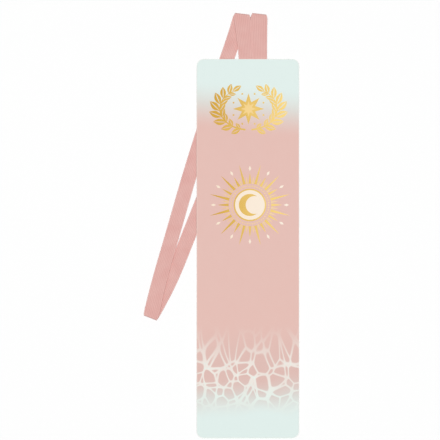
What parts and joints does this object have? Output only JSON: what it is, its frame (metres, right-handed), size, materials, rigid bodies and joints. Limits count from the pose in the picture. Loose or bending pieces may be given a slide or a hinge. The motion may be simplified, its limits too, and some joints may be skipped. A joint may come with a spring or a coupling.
{
  "type": "bookmark",
  "caption": "Slim laminated card bookmark with rounded corners and a flat elastic band, glued into its top edge, that folds behind it and pulls round a book.",
  "frame": {"origin": "middle of the card, halfway through its thickness", "axes": "+X across the card, +Y along it towards the end that the band sticks out of, +Z out of the printed face"},
  "size_m": [0.0759, 0.2076, 0.0022],
  "materials": {
    "printed_paper": "matte",
    "plain_paper": "matte",
    "core_board": "matte",
    "glue": "matte",
    "elastic": "woven"
  },
  "bodies": {
    "card": {"front_sheet": "printed_paper", "front_glue_film": "glue", "core_board": "core_board", "back_glue_film": "glue", "back_sheet": "plain_paper", "band_end_left": "elastic", "band_end_right": "elastic"},
    "legs": {"band_leg_left": "elastic", "band_leg_right": "elastic", "band_fold_left": "elastic", "band_fold_right": "elastic"},
    "loop": {"band_strand_left": "elastic", "band_strand_right": "elastic"},
    "loop_tip": {"band_loop_tip": "elastic"}
  },
  "joints": [
    {"name": "band_lift", "type": "hinge", "parent": "card", "child": "legs", "pos_m": [0.0023, 0.0925, 0], "axis": [1, 0, 0], "range_deg": [0, 150], "deforming": ["band_leg_left", "band_leg_right"]},
    {"name": "loop_unfold", "type": "hinge", "parent": "legs", "child": "loop", "pos_m": [0.00145, 0.11367, -0.00057], "axis": [0.9927, -0.1204, 0], "range_deg": [0, 175], "deforming": ["band_fold_left", "band_fold_right"]},
    {"name": "loop_stretch", "type": "slide", "parent": "loop", "child": "loop_tip", "axis": [-0.3164, -0.9486, 0], "range_m": [0, 0.06], "stiffness_N_per_m": 60, "deforming": ["band_strand_left", "band_strand_right"]}
  ]
}
